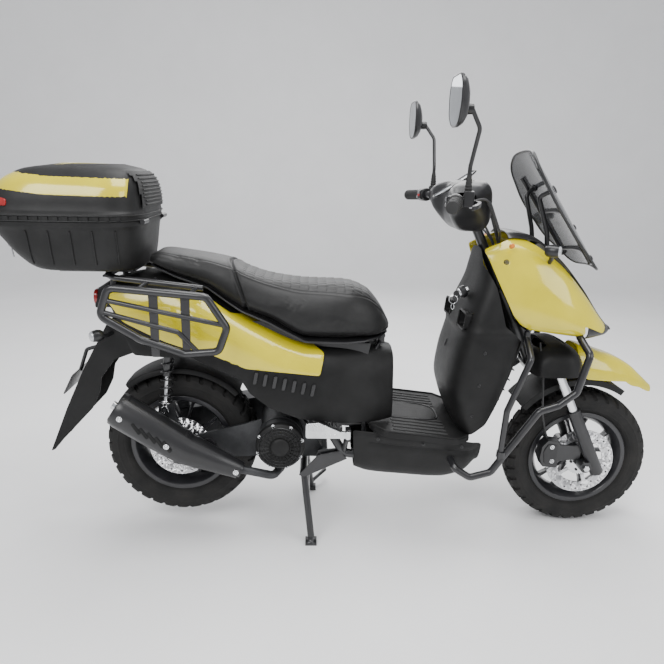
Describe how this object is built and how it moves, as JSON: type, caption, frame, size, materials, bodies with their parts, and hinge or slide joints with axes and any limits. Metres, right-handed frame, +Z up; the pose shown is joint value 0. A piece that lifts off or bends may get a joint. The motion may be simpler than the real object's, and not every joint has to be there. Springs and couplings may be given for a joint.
{
  "type": "moped scooter",
  "caption": "Step-through moped scooter with stepped seat, windshield, tubular guards, centre stand and hinged rear top box.",
  "frame": {"origin": "on the ground under the middle of the whole scooter's box", "axes": "+X forward, +Y to the rider's left, +Z up"},
  "size_m": [2.0538, 0.76, 1.382],
  "materials": {
    "yellow_plastic": "glossy moulded-in yellow",
    "black_plastic": "fine-grained matte black",
    "black_tube": "satin black powder coat",
    "black_case": "grained black luggage plastic",
    "seat_vinyl": "black textured vinyl",
    "grip_rubber": "ribbed black rubber",
    "tyre_rubber": "black tread rubber",
    "black_alloy": "satin black wheel paint",
    "disc_steel": "ground steel",
    "polished_alloy": "polished",
    "cast_alloy": "rough cast",
    "hard_chrome": "polished chrome",
    "clear_lens": "clear lens",
    "smoke_screen": "smoked clear plastic",
    "red_lens": "red lens",
    "signal_lens": "silvery lens on a black stalk",
    "red_plastic": "red button",
    "grey_plastic": "grey button",
    "spring_steel": "black spring paint",
    "mirror_shell": "black shell with a silvered glass"
  },
  "bodies": {
    "chassis": {"frame": "black_tube", "side_guards": "black_tube", "front_guards": "black_tube", "rear_rack": "black_tube", "leg_shield": "black_plastic", "front_panels": "yellow_plastic", "nose_cowl": "black_plastic", "headlight": "clear_lens", "windshield": "smoke_screen", "floorboard": "black_plastic", "belly_pan": "black_plastic", "side_panels": "yellow_plastic", "seat_cowl": "black_plastic", "storage_tub": "black_plastic", "fuel_tank": "black_plastic", "tail_fender": "black_plastic", "tail_lamp": "red_lens", "turn_signals": "signal_lens", "box_tub": "black_case"},
    "lid": {"box_lid": "black_case", "box_lid_panel": "yellow_plastic", "box_lamps": "red_lens"},
    "luggage_key": {"box_key": "polished_alloy"},
    "seat": {"seat_cushion": "seat_vinyl", "seat_pan": "black_plastic"},
    "steering_head": {"steering_stem": "black_tube", "fork_tubes": "hard_chrome", "handlebar": "black_tube", "handlebar_cover": "black_plastic", "crown_cover": "black_plastic", "front_fender": "yellow_plastic", "switch_housings": "black_plastic", "grip_left": "grip_rubber"},
    "throttle": {"grip_right": "grip_rubber"},
    "brake_left": {"lever_left": "black_tube"},
    "brake_right": {"lever_right": "black_tube"},
    "glass_left": {"mirror_left": "mirror_shell"},
    "glass_right": {"mirror_right": "mirror_shell"},
    "horn": {"horn_button": "red_plastic"},
    "starter": {"starter_button": "grey_plastic"},
    "key": {"ignition_key": "polished_alloy"},
    "fork": {"fork_lowers": "black_tube"},
    "wheel_front": {"front_wheel": "black_alloy", "front_tyre": "tyre_rubber", "front_disc": "disc_steel"},
    "swing_unit": {"engine_case": "cast_alloy", "swing_arm": "cast_alloy", "muffler": "black_tube", "rear_hugger": "black_plastic"},
    "wheel_rear": {"rear_wheel": "black_alloy", "rear_tyre": "tyre_rubber", "rear_disc": "disc_steel"},
    "shock_upper": {"shock_bodies": "black_tube", "shock_springs": "spring_steel"},
    "shock_lower": {"shock_rods": "hard_chrome"},
    "stand": {"centre_stand": "black_tube"},
    "prop": {"side_stand": "black_tube"},
    "foot_peg_left": {"peg_left": "polished_alloy"},
    "foot_peg_right": {"peg_right": "polished_alloy"},
    "kick": {"kick_lever": "polished_alloy"}
  },
  "joints": [
    {"name": "steering", "type": "hinge", "parent": "chassis", "child": "steering_head", "pos_m": [0.88075, 0, 0], "axis": [-0.4384, 0, 0.8988], "range_deg": [-32, 32]},
    {"name": "fork_slide", "type": "slide", "parent": "steering_head", "child": "fork", "axis": [-0.4384, 0, 0.8988], "range_m": [0, 0.045], "stiffness_N_per_m": 9000, "springref_m": -0.05},
    {"name": "front_wheel_spin", "type": "hinge", "parent": "fork", "child": "wheel_front", "pos_m": [0.79075, 0, 0.2365], "axis": [0, 1, 0], "continuous": true},
    {"name": "swing_pivot", "type": "hinge", "parent": "chassis", "child": "swing_unit", "pos_m": [-0.06425, 0, 0.27], "axis": [0, 1, 0], "range_deg": [0, 7.5], "stiffness_Nm_per_rad": 6000, "springref_deg": -2.29},
    {"name": "rear_wheel_spin", "type": "hinge", "parent": "swing_unit", "child": "wheel_rear", "pos_m": [-0.51925, 0, 0.2895], "axis": [0, 1, 0], "continuous": true},
    {"name": "shock_tilt", "type": "hinge", "parent": "chassis", "child": "shock_upper", "pos_m": [-0.52725, 0, 0.69], "axis": [0, 1, 0], "range_deg": [-5.03, 0]},
    {"name": "shock_slide", "type": "slide", "parent": "shock_upper", "child": "shock_lower", "axis": [0.1033, 0, 0.9947], "range_m": [0, 0.06497], "deforming": ["shock_springs"]},
    {"name": "centre_stand_fold", "type": "hinge", "parent": "chassis", "child": "stand", "pos_m": [-0.12425, 0, 0.228], "axis": [0, 1, 0], "range_deg": [0, 68]},
    {"name": "side_stand_fold", "type": "hinge", "parent": "chassis", "child": "prop", "pos_m": [0.00075, 0.184, 0.24], "axis": [0, 1, 0], "range_deg": [-75, 0], "stiffness_Nm_per_rad": 1.5, "springref_deg": 45.84},
    {"name": "seat_hinge", "type": "hinge", "parent": "chassis", "child": "seat", "pos_m": [0.12075, 0, 0.652], "axis": [0, 1, 0], "range_deg": [0, 60]},
    {"name": "box_lid_hinge", "type": "hinge", "parent": "chassis", "child": "lid", "pos_m": [-0.57725, 0, 1.004], "axis": [0, 1, 0], "range_deg": [0, 75]},
    {"name": "box_key_turn", "type": "hinge", "parent": "chassis", "child": "luggage_key", "pos_m": [-0.99825, 0, 0.962], "axis": [1, 0, 0], "range_deg": [0, 90]},
    {"name": "ignition_turn", "type": "hinge", "parent": "chassis", "child": "key", "pos_m": [0.36475, -0.048, 0.804], "axis": [0.8944, 0, 0.4472], "range_deg": [0, 90]},
    {"name": "throttle_twist", "type": "hinge", "parent": "steering_head", "child": "throttle", "pos_m": [0.28075, -0.2, 1.08], "axis": [-0.2832, -0.9575, -0.0539], "range_deg": [0, 75], "stiffness_Nm_per_rad": 0.3, "springref_deg": -17.19},
    {"name": "brake_lever_left", "type": "hinge", "parent": "steering_head", "child": "brake_left", "pos_m": [0.31451, 0.23394, 1.07876], "axis": [-0.0153, 0.0517, 0.9985], "range_deg": [0, 12], "stiffness_Nm_per_rad": 2, "springref_deg": -8.59},
    {"name": "brake_lever_right", "type": "hinge", "parent": "steering_head", "child": "brake_right", "pos_m": [0.31451, -0.23394, 1.07876], "axis": [0.0153, 0.0517, -0.9985], "range_deg": [0, 12], "stiffness_Nm_per_rad": 2, "springref_deg": -8.59},
    {"name": "mirror_left_tilt", "type": "hinge", "parent": "steering_head", "child": "glass_left", "pos_m": [0.27875, 0.305, 1.305], "axis": [0, 0, 1], "range_deg": [-15, 15]},
    {"name": "mirror_right_tilt", "type": "hinge", "parent": "steering_head", "child": "glass_right", "pos_m": [0.27875, -0.305, 1.305], "axis": [0, 0, 1], "range_deg": [-15, 15]},
    {"name": "horn_press", "type": "slide", "parent": "steering_head", "child": "horn", "axis": [0.9589, 0.2836, 0], "range_m": [0, 0.0025], "stiffness_N_per_m": 400, "springref_m": -0.001},
    {"name": "starter_press", "type": "slide", "parent": "steering_head", "child": "starter", "axis": [0.9589, -0.2836, 0], "range_m": [0, 0.0025], "stiffness_N_per_m": 400, "springref_m": -0.001},
    {"name": "peg_left_fold", "type": "hinge", "parent": "chassis", "child": "foot_peg_left", "pos_m": [0.00775, 0.196, 0.389], "axis": [0, 0, -1], "range_deg": [0, 85]},
    {"name": "peg_right_fold", "type": "hinge", "parent": "chassis", "child": "foot_peg_right", "pos_m": [0.00775, -0.196, 0.389], "axis": [0, 0, 1], "range_deg": [0, 85]},
    {"name": "kick_start", "type": "hinge", "parent": "swing_unit", "child": "kick", "pos_m": [-0.31425, 0.174, 0.3], "axis": [0, -1, 0], "range_deg": [0, 50], "stiffness_Nm_per_rad": 4, "springref_deg": -14.32}
  ],
  "couplings": [
    {"joint": "shock_tilt", "follows": "swing_pivot", "ratio": -0.65149},
    {"joint": "shock_slide", "follows": "swing_pivot", "m_per_rad": 0.49145}
  ]
}
